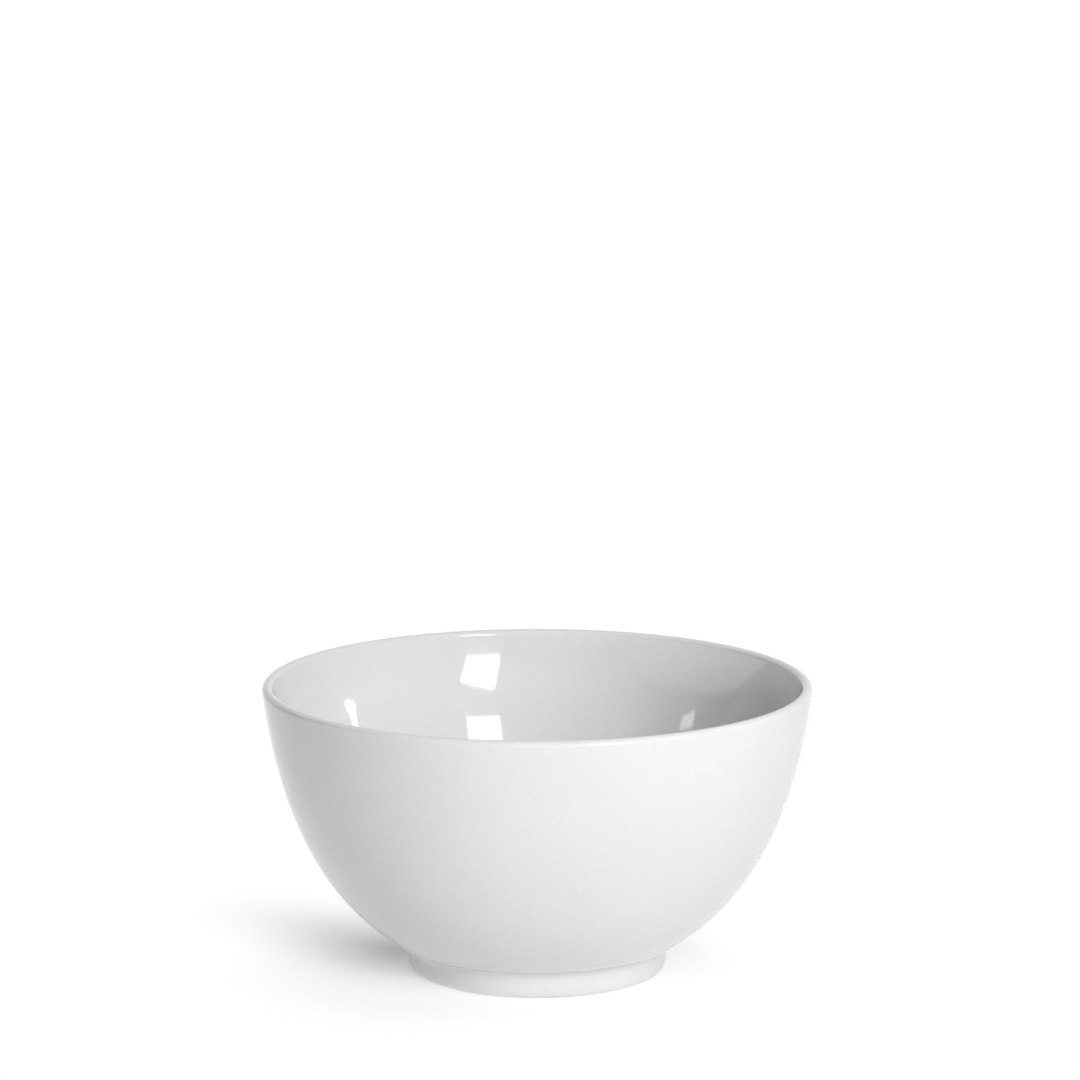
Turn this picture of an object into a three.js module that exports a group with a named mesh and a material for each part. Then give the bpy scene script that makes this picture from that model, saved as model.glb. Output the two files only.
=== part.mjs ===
// Ceramic bowl on a tapered foot ring, in millimetres, +Z up.
// The bowl stands on Z = 0 and its axis is the Z axis, so every piece is turned about Z.
// Outside and inside sizes are those of the finished bowl, over the glaze.

import * as THREE from 'three';

// Overall sizes
const RIM_DIAMETER = 140; // across the outside of the lip
const HEIGHT = 74.8; // table to the top of the lip

// Foot
const FOOT_DIAMETER = 68.2; // across the crease between wall and foot
const FOOT_HEIGHT = 7.1; // table to that crease
const FOOT_TAPER = 1.6; // how far the foot's side draws in on its way down to the table
const FOOT_EDGE = 2.6; // rounding of the foot's outer edge, both up its side and along the table
const FOOT_WIDTH = 6; // of the ring, from its bore to where its side would meet the table
const BARE_EDGE = 0.6; // rounding of the ring's inner edge, wiped free of glaze
const BASE_SAG = 2.1; // how far the underside hangs below the crease, inside the ring

// Thicknesses
const LIP_THICKNESS = 2.7; // full-round lip
const WALL_THICKNESS = 5.6; // low on the wall, where the inside floor springs
const FLOOR_THICKNESS = 4.6; // at the middle of the bowl
const GLAZE = 0.3; // each coat
const SLIP = 0.4; // bed of slip that holds the ring to the body

// Shape of the wall's curve: its slope and its pull at each end
const LIP_LEAN = THREE.MathUtils.degToRad(7.4); // from upright, just under the lip
const FOOT_RISE = THREE.MathUtils.degToRad(28.6); // from level, where the wall leaves the foot
const LIP_PULL = 32.1;
const FOOT_PULL = 24;
const FLOOR_SPRING = 0.3; // where along that curve, from the foot, the inside floor springs
const LIP_TAPER = 2; // how late the wall thins on its way up to the lip; 1 is evenly

// Fineness of the turned surfaces
const SIDES = 48;
const WALL_STEPS = 10;
const FLOOR_STEPS = 5;
const LIP_STEPS = 3;
const EDGE_STEPS = 2;

const point = (radius, height) => new THREE.Vector2(radius, height);

// Unit vector square to a direction of travel, on its left
function leftOf(along) {
  return point(-along.y, along.x).normalize();
}

// A section line moved into the clay, which lies on its left, by one coat of glaze
function underGlaze(line) {
  const sides = line.slice(1).map((end, i) => leftOf(end.clone().sub(line[i])));
  return line.map((place, i) => {
    const arriving = sides[Math.max(i - 1, 0)];
    const leaving = sides[Math.min(i, sides.length - 1)];
    const mitre = arriving.clone().add(leaving).multiplyScalar(GLAZE / (1 + arriving.dot(leaving)));
    const inside = place.clone().add(mitre);
    return place.x === 0 ? point(0, inside.y) : inside;
  });
}

// The rounded bare edge between a side of the ring and its standing face
function bareEdge(sideEnd, corner, faceEnd) {
  return new THREE.QuadraticBezierCurve(sideEnd, corner, faceEnd).getPoints(EDGE_STEPS);
}

// Where a straight line through two points crosses a height
function atHeight(a, b, height) {
  return a.clone().lerp(b, (height - a.y) / (b.y - a.y));
}

// Outside of the bowl: up the foot and the wall, and over the lip to its crest
const creasePoint = point(FOOT_DIAMETER / 2, FOOT_HEIGHT);
const footCorner = point(FOOT_DIAMETER / 2 - FOOT_TAPER, 0);
const lipRadius = LIP_THICKNESS / 2;
const lipCentre = point(RIM_DIAMETER / 2 - lipRadius, HEIGHT - lipRadius);
const outerLip = new THREE.EllipseCurve(
  lipCentre.x, lipCentre.y, lipRadius, lipRadius, -LIP_LEAN, Math.PI / 2,
);
const innerLip = new THREE.EllipseCurve(
  lipCentre.x, lipCentre.y, lipRadius, lipRadius, Math.PI / 2, Math.PI - LIP_LEAN,
);
const wallTop = outerLip.getPoint(0);
const wall = new THREE.CubicBezierCurve(
  creasePoint,
  creasePoint.clone().add(point(Math.cos(FOOT_RISE), Math.sin(FOOT_RISE)).multiplyScalar(FOOT_PULL)),
  wallTop.clone().sub(point(Math.sin(LIP_LEAN), Math.cos(LIP_LEAN)).multiplyScalar(LIP_PULL)),
  wallTop,
);
const footFlat = footCorner.clone().sub(point(FOOT_EDGE, 0));
const footEdge = new THREE.QuadraticBezierCurve(
  footFlat,
  footCorner,
  atHeight(footCorner, creasePoint, FOOT_EDGE),
);
// The coat is wiped off from halfway round that edge
const glazedEdge = footEdge.getPoints(2 * EDGE_STEPS).slice(EDGE_STEPS);
const outsideLine = [
  ...glazedEdge,
  ...wall.getPoints(WALL_STEPS),
  ...outerLip.getPoints(LIP_STEPS).slice(1),
];
const CREASE_INDEX = glazedEdge.length;
const CREST_INDEX = outsideLine.length - 1;

// Inside of the bowl: from the crest down the wall, then in one sweep to the middle of the floor
function innerWallPoint(place) {
  const rise = (place - FLOOR_SPRING) / (1 - FLOOR_SPRING);
  const thickness = THREE.MathUtils.lerp(WALL_THICKNESS, LIP_THICKNESS, rise ** LIP_TAPER);
  return wall.getPoint(place).add(leftOf(wall.getTangent(place)).multiplyScalar(thickness));
}

const recessHeight = FOOT_HEIGHT - BASE_SAG;
const floorHeight = recessHeight + FLOOR_THICKNESS;
const innerSteps = Math.round(WALL_STEPS * (1 - FLOOR_SPRING));
const innerWall = Array.from({ length: innerSteps }, (_, i) =>
  innerWallPoint(THREE.MathUtils.lerp(1, FLOOR_SPRING, (i + 1) / innerSteps)),
);
const [aboveFloor, floorEdge] = innerWall.slice(-2);
const floor = new THREE.QuadraticBezierCurve(
  floorEdge,
  atHeight(aboveFloor, floorEdge, floorHeight),
  point(0, floorHeight),
);
const insideLine = [
  ...innerLip.getPoints(LIP_STEPS).slice(1),
  ...innerWall,
  ...floor.getPoints(FLOOR_STEPS).slice(1),
];

// Underside: out along the recess and down the inner side of the ring
const ringBore = footCorner.x - FOOT_WIDTH;
const baseLine = [
  point(0, recessHeight),
  point(ringBore, recessHeight),
  point(ringBore, BARE_EDGE),
];

// The clay under the coats
const glazed = [...outsideLine, ...insideLine];
const clay = underGlaze(glazed);
const [baseMiddle, seatInner, innerSide] = underGlaze(baseLine);
const outerSide = clay.slice(0, CREASE_INDEX);
const seatOuter = clay[CREASE_INDEX];

// The ring's top lies under the body's seat by the thickness of the slip
const ringTopOuter = atHeight(outerSide.at(-1), seatOuter, seatOuter.y - SLIP);
const ringTopInner = atHeight(innerSide, seatInner, seatInner.y - SLIP);

function bodySection() {
  return [baseMiddle, seatInner, ...clay.slice(CREASE_INDEX)];
}

function slipSection() {
  return [ringTopInner, ringTopOuter, seatOuter, seatInner, ringTopInner];
}

function footRingSection() {
  const [wiped, nextUp] = outerSide;
  const innerCorner = atHeight(innerSide, seatInner, 0);
  const inward = point(BARE_EDGE, 0);
  return [
    ...bareEdge(innerSide, innerCorner, innerCorner.clone().add(inward)),
    ...bareEdge(footFlat, atHeight(nextUp, wiped, 0), wiped),
    ...outerSide.slice(1),
    ringTopOuter,
    ringTopInner,
    innerSide,
  ];
}

function outsideGlazeSection() {
  const clayFace = clay.slice(0, CREST_INDEX + 1).reverse();
  return [...outsideLine, ...clayFace, outsideLine[0]];
}

function insideGlazeSection() {
  const clayFace = clay.slice(CREST_INDEX).reverse();
  return [...clayFace, ...glazed.slice(CREST_INDEX)];
}

function baseGlazeSection() {
  return [...baseLine, innerSide, seatInner, baseMiddle];
}

const glazeWhite = { color: 0xf4f4f3, roughness: 0.12, metalness: 0 };
const firedClay = { color: 0xe9e6e0, roughness: 0.75, metalness: 0 };
const firedSlip = { color: 0xe2ddd4, roughness: 0.85, metalness: 0 };

function turnedPiece(name, section, finish) {
  const geometry = new THREE.LatheGeometry(section, SIDES);
  geometry.rotateX(Math.PI / 2);
  const mesh = new THREE.Mesh(geometry, new THREE.MeshStandardMaterial(finish));
  mesh.name = name;
  return mesh;
}

const bowl = new THREE.Group();
bowl.add(
  turnedPiece('bowl_body', bodySection(), firedClay),
  turnedPiece('luting_slip', slipSection(), firedSlip),
  turnedPiece('foot_ring', footRingSection(), firedClay),
  turnedPiece('inside_glaze', insideGlazeSection(), glazeWhite),
  turnedPiece('outside_glaze', outsideGlazeSection(), glazeWhite),
  turnedPiece('base_glaze', baseGlazeSection(), glazeWhite),
);

export default bowl;
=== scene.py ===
"""White glazed ceramic bowl on a short foot, on a white studio floor.

The bowl stands on Z = 0 with its axis on Z, in metres. Each piece is a section line turned
about that axis: the clay body, the foot ring, the slip between them and three coats of glaze.
"""

from math import cos, pi, radians, sin

import bmesh
import bpy
from mathutils import Euler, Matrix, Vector
from mathutils.geometry import interpolate_bezier


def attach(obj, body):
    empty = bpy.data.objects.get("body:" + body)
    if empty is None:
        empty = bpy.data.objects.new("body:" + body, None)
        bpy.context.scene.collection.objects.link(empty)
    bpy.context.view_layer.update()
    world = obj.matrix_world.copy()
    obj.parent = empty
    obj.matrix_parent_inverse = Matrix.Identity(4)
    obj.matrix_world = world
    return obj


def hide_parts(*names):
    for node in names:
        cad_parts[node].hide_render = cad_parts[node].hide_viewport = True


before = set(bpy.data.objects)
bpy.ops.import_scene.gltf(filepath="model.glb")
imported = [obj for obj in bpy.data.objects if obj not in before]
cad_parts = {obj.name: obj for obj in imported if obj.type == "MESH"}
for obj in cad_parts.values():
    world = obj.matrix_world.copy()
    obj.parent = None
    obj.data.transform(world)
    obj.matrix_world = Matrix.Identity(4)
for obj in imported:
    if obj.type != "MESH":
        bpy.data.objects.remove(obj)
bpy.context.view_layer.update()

MM = 0.001

# Sizes of the finished bowl, over the glaze
RIM_RADIUS = 70 * MM
HEIGHT = 74.8 * MM
LIP_THICKNESS = 2.7 * MM
WALL_THICKNESS = 5.6 * MM
FLOOR_THICKNESS = 4.6 * MM
FOOT_RADIUS = 34.1 * MM
FOOT_HEIGHT = 7.1 * MM
FOOT_TAPER = 1.6 * MM
FOOT_EDGE = 2.6 * MM
FOOT_WIDTH = 6 * MM
BARE_EDGE = 0.6 * MM
BASE_SAG = 2.1 * MM
GLAZE = 0.3 * MM
SLIP = 0.4 * MM

# The wall's curve: slope and pull at each end, where the inside floor springs from it,
# and how late the wall thins on its way up to the lip
LIP_LEAN = radians(7.4)
FOOT_RISE = radians(28.6)
LIP_PULL = 32.1 * MM
FOOT_PULL = 24 * MM
FLOOR_SPRING = 0.3
LIP_TAPER = 2

# The foot's side is hollowed below the crease: its pull at each end and its slope at the crease
SIDE_PULL = 1.2 * MM
HOLLOW_PULL = 2.4 * MM
HOLLOW_RISE = radians(44)

# Glaze gathers in a low bead on the lower edge of the wall, and in the hollow corners
BEAD_LENGTH = 5 * MM
BEAD_HEIGHT = 0.24 * MM
CREASE_POOL = 0.5 * MM
RECESS_POOL = 1.4 * MM

# Fineness of the turned pieces
TURN_STEPS = 256
WALL_STEPS = 70
FLOOR_STEPS = 36
LIP_STEPS = 10
POOL_STEPS = 6
EDGE_STEPS = 5
SIDE_STEPS = 6
BEAD_FINENESS = 8
SHARP_ANGLE = radians(35)
MERGE_DISTANCE = 0.001 * MM

# The photograph's viewpoint and its square frame
CAMERA_PLACE = (0, -1.4001, 0.3713)
CAMERA_DIP = 0.18335
CAMERA_PAN = 0.0005
FOCAL_PIXELS = 5618
FRAME_PIXELS = 1080
SENSOR_WIDTH = 36

# Section lines, as points of radius and height


def sweep(knot, handle, far_handle, far_knot, steps):
    return interpolate_bezier(knot, handle, far_handle, far_knot, steps + 1)


def bend(start, corner, end, steps):
    """A curve that leaves start and reaches end along the lines to the corner between them."""
    return sweep(start, start.lerp(corner, 2 / 3), end.lerp(corner, 2 / 3), end, steps)


def arc(centre, radius, start, end, steps):
    angles = [start + (end - start) * i / steps for i in range(steps + 1)]
    return [centre + radius * Vector((cos(a), sin(a))) for a in angles]


def left_of(along):
    return Vector((-along.y, along.x)).normalized()


def at_height(a, b, height):
    return a.lerp(b, (height - a.y) / (b.y - a.y))


def under_glaze(line):
    """The line moved to its left, into the clay, by one coat of glaze."""
    sides = [left_of(end - start) for start, end in zip(line, line[1:])]
    moved = []
    for arriving, place, leaving in zip(sides[:1] + sides, line, sides + sides[-1:]):
        inside = place + (arriving + leaving) * (GLAZE / (1 + arriving.dot(leaving)))
        moved.append(Vector((0, inside.y)) if place.x < MERGE_DISTANCE else inside)
    return moved


def rounded(line, corner, reach, steps):
    """The line with the point at index corner eased over a length of reach on either side."""
    point = line[corner]
    before = [p for p in line[:corner] if (p - point).length > reach]
    after = [p for p in line[corner + 1:] if (p - point).length > reach]
    start = point + reach * (before[-1] - point).normalized()
    end = point + reach * (after[0] - point).normalized()
    return before + bend(start, point, end, steps) + after


# Outside: up the foot and the wall, and over the lip to its crest
crease = Vector((FOOT_RADIUS, FOOT_HEIGHT))
foot_corner = Vector((FOOT_RADIUS - FOOT_TAPER, 0))
lip_radius = LIP_THICKNESS / 2
lip_centre = Vector((RIM_RADIUS - lip_radius, HEIGHT - lip_radius))
outer_lip = arc(lip_centre, lip_radius, -LIP_LEAN, pi / 2, LIP_STEPS)
inner_lip = arc(lip_centre, lip_radius, pi / 2, pi - LIP_LEAN, LIP_STEPS)
wall_curve = (
    crease,
    crease + FOOT_PULL * Vector((cos(FOOT_RISE), sin(FOOT_RISE))),
    outer_lip[0] - LIP_PULL * Vector((sin(LIP_LEAN), cos(LIP_LEAN))),
    outer_lip[0],
)
wall = sweep(*wall_curve, WALL_STEPS)
foot_flat = foot_corner - Vector((FOOT_EDGE, 0))
foot_edge = bend(foot_flat, foot_corner, at_height(foot_corner, crease, FOOT_EDGE), 2 * EDGE_STEPS)
foot_side = sweep(
    foot_edge[-1],
    foot_edge[-1] + SIDE_PULL * (crease - foot_corner).normalized(),
    crease - HOLLOW_PULL * Vector((cos(HOLLOW_RISE), sin(HOLLOW_RISE))),
    crease,
    SIDE_STEPS,
)
glazed_foot = foot_edge[EDGE_STEPS:-1] + foot_side[:-1]
outside_line = glazed_foot + wall + outer_lip[1:]
CREASE_INDEX = len(glazed_foot)
CREST_INDEX = len(outside_line) - 1

# Inside: from the crest down the wall, then in one sweep to the middle of the floor
recess_height = FOOT_HEIGHT - BASE_SAG
floor_height = recess_height + FLOOR_THICKNESS
spring_index = round(FLOOR_SPRING * WALL_STEPS)
inner_wall = []
for i in range(WALL_STEPS - 1, spring_index - 1, -1):
    rise = (i - spring_index) / (WALL_STEPS - spring_index)
    thickness = WALL_THICKNESS + (LIP_THICKNESS - WALL_THICKNESS) * rise ** LIP_TAPER
    inner_wall.append(wall[i] + thickness * left_of(wall[i + 1] - wall[i - 1]))
floor_edge = inner_wall[-1]
floor_pull = at_height(inner_wall[-2], floor_edge, floor_height)
floor_middle = Vector((0, floor_height))
floor_line = bend(floor_edge, floor_pull, floor_middle, FLOOR_STEPS)
inside_line = inner_lip[1:] + inner_wall + floor_line[1:]

# Underside: out along the recess and down the inner side of the ring
ring_bore = foot_corner.x - FOOT_WIDTH
base_line = [
    Vector((0, recess_height)),
    Vector((ring_bore, recess_height)),
    Vector((ring_bore, BARE_EDGE)),
]
BASE_CORNER = 1

# The clay under the coats, and the seat between body and ring
glazed_line = outside_line + inside_line
clay_line = under_glaze(glazed_line)
base_middle, seat_inner, inner_side = under_glaze(base_line)
outer_side = clay_line[:CREASE_INDEX]
seat_outer = clay_line[CREASE_INDEX]
ring_top_outer = at_height(outer_side[-1], seat_outer, seat_outer.y - SLIP)
ring_top_inner = at_height(inner_side, seat_inner, seat_inner.y - SLIP)


def body_section():
    return [base_middle, seat_inner] + clay_line[CREASE_INDEX:]


def slip_section():
    return [ring_top_inner, ring_top_outer, seat_outer, seat_inner]


def foot_ring_section():
    wiped, next_up = outer_side[:2]
    inner_corner = at_height(inner_side, seat_inner, 0)
    inner_edge = bend(inner_side, inner_corner, inner_corner + Vector((BARE_EDGE, 0)), EDGE_STEPS)
    outer_edge = bend(foot_flat, at_height(next_up, wiped, 0), wiped, EDGE_STEPS)
    return inner_edge + outer_edge + outer_side[1:] + [ring_top_outer, ring_top_inner]


def beaded_wall():
    """The wall's outer line, with the bead of glaze on its first stretch above the crease."""
    fine = sweep(*wall_curve, WALL_STEPS * BEAD_FINENESS)
    bead = []
    for place, ahead in zip(fine, fine[1:]):
        share = (place - crease).length / BEAD_LENGTH
        if share < 1:
            bead.append(place - BEAD_HEIGHT * sin(pi * share) ** 2 * left_of(ahead - place))
    return bead + [place for place in wall if (place - crease).length > BEAD_LENGTH]


def outside_glaze_section():
    beaded_line = glazed_foot + beaded_wall() + outer_lip[1:]
    face = rounded(beaded_line, CREASE_INDEX, CREASE_POOL, POOL_STEPS)
    return face + clay_line[CREST_INDEX::-1]


def inside_glaze_section():
    return clay_line[:CREST_INDEX - 1:-1] + glazed_line[CREST_INDEX:]


def base_glaze_section():
    face = rounded(base_line, BASE_CORNER, RECESS_POOL, POOL_STEPS)
    return face + [inner_side, seat_inner, base_middle]


def turned(name, section, finish):
    """A closed section turned once round the axis; one that starts on the axis also ends there."""
    shape = bmesh.new()
    points = [shape.verts.new((p.x, 0, p.y)) for p in section]
    ends = points[1:] if section[0].x == 0 else points[1:] + points[:1]
    edges = [shape.edges.new(pair) for pair in zip(points, ends)]
    bmesh.ops.spin(
        shape, geom=points + edges, cent=(0, 0, 0), axis=(0, 0, 1),
        angle=2 * pi, steps=TURN_STEPS, use_merge=True,
    )
    bmesh.ops.remove_doubles(shape, verts=shape.verts, dist=MERGE_DISTANCE)
    bmesh.ops.recalc_face_normals(shape, faces=shape.faces)
    for face in shape.faces:
        face.smooth = True
    mesh = bpy.data.meshes.new(name)
    shape.to_mesh(mesh)
    shape.free()
    mesh.set_sharp_from_angle(angle=SHARP_ANGLE)
    mesh.materials.append(finish)
    piece = bpy.data.objects.new(name, mesh)
    bpy.context.scene.collection.objects.link(piece)
    return piece


class Field:
    """A value over a surface: an output socket whose sums and products add Math nodes."""

    def __init__(self, tree, socket=None):
        self.tree = tree
        self.socket = socket

    def node(self, kind, settings=(), sockets=(), output=0):
        """Adds a node: first its settings, then the values or links of its sockets."""
        made = self.tree.nodes.new(kind)
        for name, value in dict(settings).items():
            setattr(made, name, value)
        for name, value in dict(sockets).items():
            if isinstance(value, Field):
                self.tree.links.new(value.socket, made.inputs[name])
            else:
                made.inputs[name].default_value = value
        return Field(self.tree, made.outputs[output] if made.outputs else None)

    def math(self, operation, first, second):
        return self.node("ShaderNodeMath", {"operation": operation}, {0: first, 1: second})

    def __add__(self, other):
        return self.math("ADD", self, other)

    def __sub__(self, other):
        return self.math("SUBTRACT", self, other)

    def __rsub__(self, other):
        return self.math("SUBTRACT", other, self)

    def __mul__(self, other):
        return self.math("MULTIPLY", self, other)

    __radd__ = __add__
    __rmul__ = __mul__

    def dot(self, vector):
        return self.node(
            "ShaderNodeVectorMath", {"operation": "DOT_PRODUCT"}, {0: self, 1: vector}, "Value",
        )

    def noise(self, size, detail=2):
        """Soft noise with features about as large as size, read at this place."""
        sockets = {"Vector": self, "Scale": 1 / size, "Detail": detail}
        return self.node("ShaderNodeTexNoise", (), sockets)

    def cells(self, size):
        """Distance from the nearest of points strewn about size apart, in shares of size."""
        sockets = {"Vector": self, "Scale": 1 / size}
        return self.node("ShaderNodeTexVoronoi", (), sockets, "Distance")

    def ease(self, low, high):
        """0 up to low, 1 from high, smooth between; low may be the larger."""
        return self.node(
            "ShaderNodeMapRange", {"interpolation_type": "SMOOTHSTEP"},
            {"Value": self, "From Min": low, "From Max": high},
        )

    def mix(self, first, second):
        """A colour between first, where this is 0, and second, where it is 1."""
        return self.node("ShaderNodeMix", {"data_type": "RGBA"}, {0: self, 6: first, 7: second}, 2)


def new_finish(name):
    """A material with only an output, and the place on the object that its fields read."""
    material = bpy.data.materials.new(name)
    material.use_nodes = True
    material.node_tree.nodes.clear()
    place = Field(material.node_tree).node("ShaderNodeTexCoord", output="Object")
    return material, place


def coat_with(place, shader):
    place.node("ShaderNodeOutputMaterial", (), {"Surface": shader})


def bump(place, height, depth):
    return place.node("ShaderNodeBump", (), {"Height": height, "Distance": depth, "Strength": 1})


# Colour of the glaze: clouds and a finer mist, a thin coat on the lip and at the foot's hem, specks
GLAZE_WHITE = (0.80, 0.80, 0.796, 1)
GLAZE_DEEP = (0.765, 0.767, 0.767, 1)
GLAZE_THIN = (0.74, 0.73, 0.71, 1)
SPECK_GREY = (0.42, 0.40, 0.37, 1)
CLOUD_SIZE = 24 * MM
CLOUD_STRENGTH = 0.4
MIST_SIZE = 0.9 * MM
MIST_STRENGTH = 0.6
CLOUD_EDGES = (0.3, 0.7)
LIP_DEPTH = 1.4 * MM
LIP_THINNING = 0.12
HEM_HEIGHT = 0.8 * MM
HEM_THINNING = 0.3
SPECK_SPACING = 4 * MM
SPECK_EDGES = (0.035, 0.02)
SPECK_STRENGTH = 0.5

# Gloss of the glaze, and its relief: swells, dimples and, on the base, turning rings,
# each in shares of the depth
GLAZE_ROUGHNESS = 0.035
SHEEN_SIZE = 9 * MM
SHEEN_CHANGE = 0.03
GLAZE_RELIEF = 0.03 * MM
SWELL_SIZE = 30 * MM
SWELL_SHARE = 3
DIMPLE_SIZE = 2.6 * MM
DIMPLE_SHARE = 0.25
RING_SCALE = 180
RING_WOBBLE = 1.5
RING_SHARE = 0.2
GLAZE_IOR = 1.5


def white_glaze(name, ring_share=0):
    """Glossy white glaze: clouds, thin on the lip, faint dimples and now and then a speck."""
    material, place = new_finish(name)
    height = place.node("ShaderNodeSeparateXYZ", (), {"Vector": place}, "Z")
    clouds = place.noise(CLOUD_SIZE, 3).ease(*CLOUD_EDGES) * CLOUD_STRENGTH
    mist = place.noise(MIST_SIZE).ease(*CLOUD_EDGES) * MIST_STRENGTH
    lip = height.ease(HEIGHT - LIP_DEPTH, HEIGHT) * LIP_THINNING
    hem = height.ease(BARE_EDGE + HEM_HEIGHT, BARE_EDGE) * HEM_THINNING
    speck = place.cells(SPECK_SPACING).ease(*SPECK_EDGES) * SPECK_STRENGTH
    white = (clouds + mist).mix(GLAZE_WHITE, GLAZE_DEEP)
    colour = speck.mix((lip + hem).mix(white, GLAZE_THIN), SPECK_GREY)
    roughness = place.noise(SHEEN_SIZE) * SHEEN_CHANGE + GLAZE_ROUGHNESS
    swell = place.noise(SWELL_SIZE) * SWELL_SHARE
    dimples = place.noise(DIMPLE_SIZE) * DIMPLE_SHARE
    relief = swell + dimples
    if ring_share:
        rings = place.node(
            "ShaderNodeTexWave", {"wave_type": "RINGS", "rings_direction": "Z"},
            {"Vector": place, "Scale": RING_SCALE, "Distortion": RING_WOBBLE, "Detail": 1},
        )
        relief = relief + rings * ring_share
    coat_with(place, place.node("ShaderNodeBsdfPrincipled", (), {
        "Base Color": colour,
        "Roughness": roughness,
        "IOR": GLAZE_IOR,
        "Normal": bump(place, relief, GLAZE_RELIEF),
    }))
    return material


# Bare clay and slip: mottling, grit and grain
CLAY_PALE = (0.80, 0.79, 0.77, 1)
CLAY_DARK = (0.69, 0.67, 0.64, 1)
SLIP_PALE = (0.70, 0.68, 0.64, 1)
SLIP_DARK = (0.58, 0.55, 0.50, 1)
MOTTLE_SIZE = 5 * MM
MOTTLE_EDGES = (0.35, 0.7)
MOTTLE_STRENGTH = 0.45
GRIT_SPACING = 0.9 * MM
GRIT_EDGES = (0.16, 0.08)
GRIT_STRENGTH = 0.6
GRAIN_SIZE = 0.35 * MM
GRAIN_ROUGHNESS = 0.2
CLAY_ROUGHNESS = 0.65
CLAY_RELIEF = 0.05 * MM
MOTTLE_SHARE = 0.5
CLAY_IOR = 1.45


def fired_clay(name, pale, dark):
    """Matt bare clay: fine grain, mottling and darker grit."""
    material, place = new_finish(name)
    mottle = place.noise(MOTTLE_SIZE, 4).ease(*MOTTLE_EDGES)
    grain = place.noise(GRAIN_SIZE, 3)
    grit = place.cells(GRIT_SPACING).ease(*GRIT_EDGES) * GRIT_STRENGTH
    colour = grit.mix((mottle * MOTTLE_STRENGTH).mix(pale, dark), dark)
    coat_with(place, place.node("ShaderNodeBsdfPrincipled", (), {
        "Base Color": colour,
        "Roughness": grain * GRAIN_ROUGHNESS + CLAY_ROUGHNESS,
        "IOR": CLAY_IOR,
        "Normal": bump(place, grain + mottle * MOTTLE_SHARE, CLAY_RELIEF),
    }))
    return material


clay = fired_clay("fired_clay", CLAY_PALE, CLAY_DARK)
slip = fired_clay("fired_slip", SLIP_PALE, SLIP_DARK)
glaze = white_glaze("white_glaze")
ringed_glaze = white_glaze("base_glaze", RING_SHARE)
pieces = [
    ("body_clay", "bowl_body", "fired_clay", body_section(), clay),
    ("slip_bed", "luting_slip", "fired_slip", slip_section(), slip),
    ("foot_ring_clay", "foot_ring", "fired_clay", foot_ring_section(), clay),
    ("inside_coat", "inside_glaze", "white_glaze", inside_glaze_section(), glaze),
    ("outside_coat", "outside_glaze", "white_glaze", outside_glaze_section(), glaze),
    ("base_coat", "base_glaze", "white_glaze", base_glaze_section(), ringed_glaze),
]
for name, node, slot, section, finish in pieces:
    piece = turned(name, section, finish)
    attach(piece, "root")
    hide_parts(node)

# Studio: a white floor that fades into a white surround, and flat lamps
FLOOR_RADIUS = 2.0
FLOOR_SIDES = 128
FLOOR_WHITE = (0.9, 0.9, 0.9, 1)
FLOOR_LIFTED = (1.33, 1.33, 1.33, 1)
WHITE = (1, 1, 1, 1)
RIGHTWARD = (1, 0, 0)
FRONTWARD = (0, -1, 0)

# Outside the shadow's oval the floor is partly white to the eye near the bowl, and all white
# from the second distance out
FLOOR_VEIL = 0.63
FLOOR_FADE = (0.045, 0.085)

# That oval: its middle, its half axes, and how white sets in from its middle out
SHADOW_MIDDLE = Vector((-0.036, 0.018, 0))
SHADOW_LENGTH = 0.078
SHADOW_WIDTH = 0.033
SHADOW_ALONG = Vector((-0.65, 0.76, 0)) / SHADOW_LENGTH
SHADOW_ACROSS = Vector((0.76, 0.65, 0)) / SHADOW_WIDTH
SHADOW_FADE = (-0.4, 1.05)

# Glow of the floor under the front of the foot: its reach from the axis and frontward, its strength
FOOT_LEAK = (0.04, 0.034)
LEAK_FRONT = (0, 0.02)
LEAK_LIGHT = 0.45

# On the left the glaze mirrors a wall: the slant of its top edge, the edge's softness, how far left
# it begins and is full, and how much brighter than white it is
SIDE_WALL_EDGE = (0.185, 0.2245, 1)
SIDE_WALL_SOFTNESS = 0.006
SIDE_WALL_REACH = (-0.6, -0.9)
SIDE_WALL_LIGHT = 0.5


def ray_kind(field, kind):
    """1 for rays of one kind, and 0 for the others."""
    return field.node("ShaderNodeLightPath", output=f"Is {kind} Ray")


def seen_rays(field):
    """1 for what the eye sees, straight, in a gloss or through a glass; 0 for light on the bowl."""
    kinds = ("Camera", "Glossy", "Transmission")
    camera, gloss, through = [ray_kind(field, kind) for kind in kinds]
    return field.math("MINIMUM", camera + gloss + through, 1)


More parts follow.
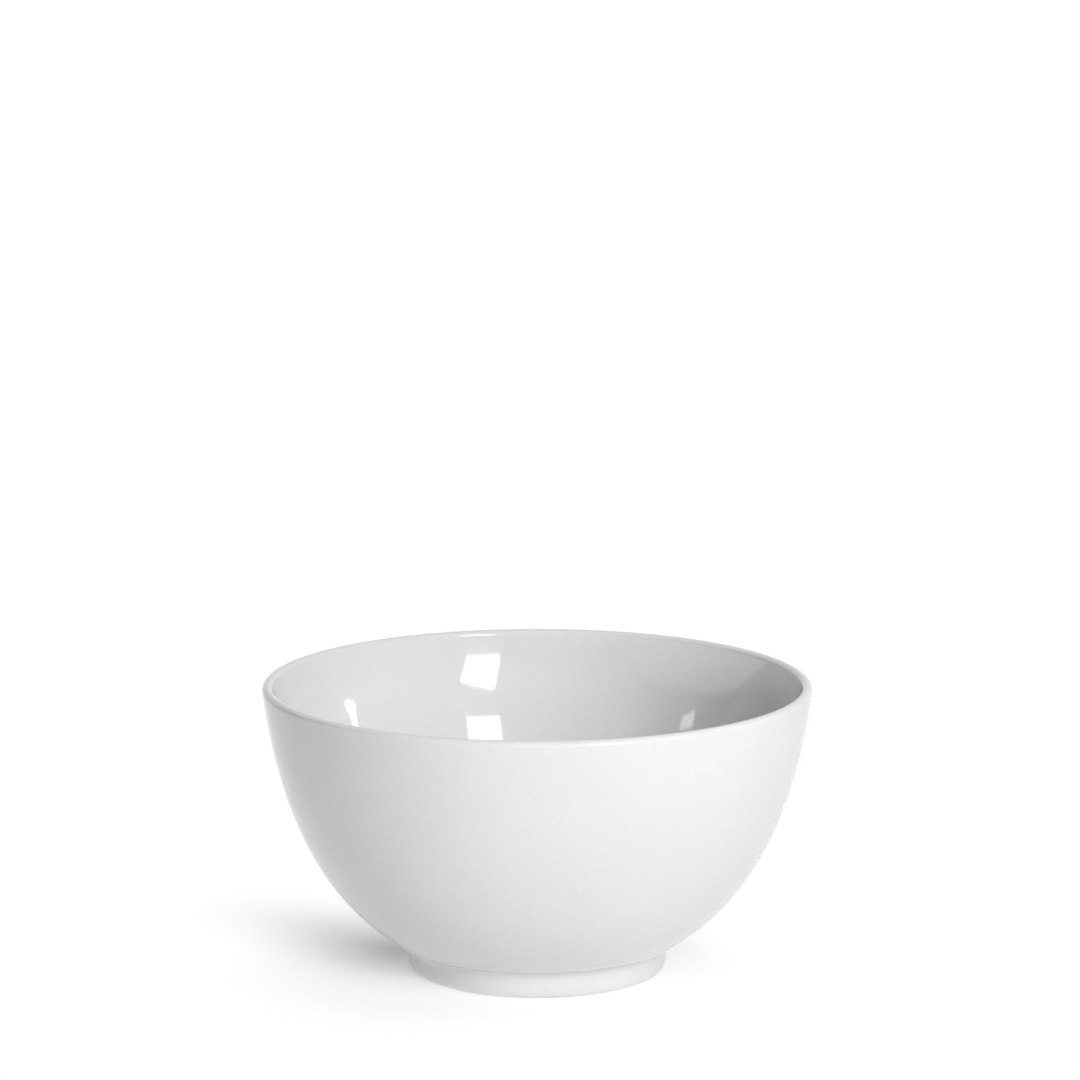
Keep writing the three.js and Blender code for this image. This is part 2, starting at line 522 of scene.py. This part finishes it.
def studio_floor():
    """A white disc, lifted for the eye, that can be seen through from below.

    To the eye it whitens outside the shadow's oval patch, and away from the bowl.
    Under the foot's rounded front edge it gives off a little light that the eye doesn't see.
    """
    shape = bmesh.new()
    bmesh.ops.create_circle(shape, cap_ends=True, radius=FLOOR_RADIUS, segments=FLOOR_SIDES)
    mesh = bpy.data.meshes.new("floor")
    shape.to_mesh(mesh)
    shape.free()
    material, place = new_finish("floor_white")
    seen = seen_rays(place)
    below = place.node("ShaderNodeNewGeometry", output="Backfacing")
    out = place.node("ShaderNodeVectorMath", {"operation": "LENGTH"}, {0: place}, "Value")
    along = place.dot(SHADOW_ALONG) - SHADOW_MIDDLE.dot(SHADOW_ALONG)
    across = place.dot(SHADOW_ACROSS) - SHADOW_MIDDLE.dot(SHADOW_ACROSS)
    oval = place.math("POWER", along * along + across * across, 0.5)
    far = out.ease(*FLOOR_FADE) * (1 - FLOOR_VEIL) + FLOOR_VEIL
    front = place.dot(FRONTWARD).ease(*LEAK_FRONT)
    leak = out.ease(*FOOT_LEAK) * front * LEAK_LIGHT
    veil = oval.ease(*SHADOW_FADE) * far * seen + leak * (1 - seen)
    matt = place.node("ShaderNodeBsdfDiffuse", (), {"Color": seen.mix(FLOOR_WHITE, FLOOR_LIFTED)})
    glow = place.node("ShaderNodeEmission", (), {"Color": WHITE, "Strength": 1})
    clear = place.node("ShaderNodeBsdfTransparent")
    upper = place.node("ShaderNodeMixShader", (), {0: veil, 1: matt, 2: glow})
    coat_with(place, place.node("ShaderNodeMixShader", (), {0: below * seen, 1: upper, 2: clear}))
    material.cycles.emission_sampling = "NONE"
    mesh.materials.append(material)
    floor = bpy.data.objects.new("floor", mesh)
    bpy.context.scene.collection.objects.link(floor)


def studio_surround():
    """White to the eye and in the glaze, and no light elsewhere: the lamps light the bowl.

    On the left the glaze mirrors a brighter wall, and the dark room over its slanting top edge.
    """
    world = bpy.data.worlds.new("surround")
    world.use_nodes = True
    world.node_tree.nodes.clear()
    sky = Field(world.node_tree)
    way = sky.node("ShaderNodeTexCoord", output="Generated")
    above = way.dot(SIDE_WALL_EDGE).ease(-SIDE_WALL_SOFTNESS, SIDE_WALL_SOFTNESS)
    left = way.dot(RIGHTWARD).ease(*SIDE_WALL_REACH) * ray_kind(sky, "Glossy")
    strength = seen_rays(sky) + left * (SIDE_WALL_LIGHT - above * (1 + SIDE_WALL_LIGHT))
    light = sky.node("ShaderNodeBackground", (), {"Color": WHITE, "Strength": strength})
    sky.node("ShaderNodeOutputWorld", (), {"Surface": light})
    bpy.context.scene.world = world


# Places on the bowl that the lamps face, and how far from them the lamps and the cards are
MIDDLE = Vector((0, 0, 50)) * MM
FAR_WALL = Vector((-15, 62, 58)) * MM
LEFT_WALL = Vector((-49, 40, 58)) * MM
RIGHT_WALL = Vector((40, 49, 55)) * MM
LAMP_DISTANCE = 1.3
CARD_DISTANCE = 1.2


def lamp(
    name, target, azimuth, elevation, size, brightness, turn=(0, 0, 0), distance=LAMP_DISTANCE,
):
    """A flat lamp. Azimuth 0 is the camera's side and 90 its right; brightness 1 looks white.

    turn slants it, in degrees, from squarely facing its target.
    """
    across, up = radians(azimuth), radians(elevation)
    way = Vector((sin(across) * cos(up), -cos(across) * cos(up), sin(up)))
    light = bpy.data.lights.new(name, "AREA")
    light.shape = "RECTANGLE"
    light.size, light.size_y = size
    light.energy = brightness * light.size * light.size_y * pi
    box = bpy.data.objects.new(name, light)
    box.location = target + distance * way
    slant = Euler([radians(angle) for angle in turn]).to_quaternion()
    box.rotation_euler = (way.to_track_quat("Z", "Y") @ slant).to_euler()
    box.visible_camera = False
    bpy.context.scene.collection.objects.link(box)
    return box


def card(name, azimuth, elevation, size, brightness):
    """A flat lamp that faces the bowl and doesn't show in the glaze."""
    box = lamp(name, MIDDLE, azimuth, elevation, size, brightness, distance=CARD_DISTANCE)
    box.visible_glossy = False


def studio_lamps():
    """Two window panes, a box and a strip that show in the glaze, and cards that only fill."""
    lamp("pane_low", FAR_WALL, 27.2, 17.6, (0.422, 0.151), 33.5, turn=(-55, -39, -7.5))
    lamp("pane_high", FAR_WALL, 27.7, 27.8, (0.35, 0.16), 10, turn=(-29, 2, -4))
    lamp("right_box", LEFT_WALL, 99.1, 11.1, (0.179, 0.104), 12, turn=(-43, -38, -16.5))
    lamp("left_strip", RIGHT_WALL, -78.6, 17.2, (0.155, 0.058), 5, turn=(-2.3, 1.3, 20.2))
    card("front_low_card", 30, 13, (0.63, 0.24), 6.6)
    card("front_high_card", 30, 33, (0.55, 0.5), 3.2)
    card("right_high_card", 60, 62, (0.6, 0.55), 3.1)
    card("back_high_card", 180, 62, (0.8, 0.5), 2.2)
    card("left_high_card", -60, 62, (0.6, 0.55), 0.7)
    card("left_low_card", -65, 3, (0.8, 0.12), 8.7)
    card("back_low_card", 180, 3, (0.8, 0.12), 11)


def studio_camera():
    lens = bpy.data.cameras.new("camera")
    lens.sensor_width = SENSOR_WIDTH
    lens.lens = SENSOR_WIDTH * FOCAL_PIXELS / FRAME_PIXELS
    camera = bpy.data.objects.new("camera", lens)
    camera.location = CAMERA_PLACE
    camera.rotation_euler = (pi / 2 - CAMERA_DIP, 0, -CAMERA_PAN)
    bpy.context.scene.collection.objects.link(camera)
    bpy.context.scene.camera = camera


studio_floor()
studio_surround()
studio_lamps()
studio_camera()
bpy.context.scene.view_settings.view_transform = "Standard"
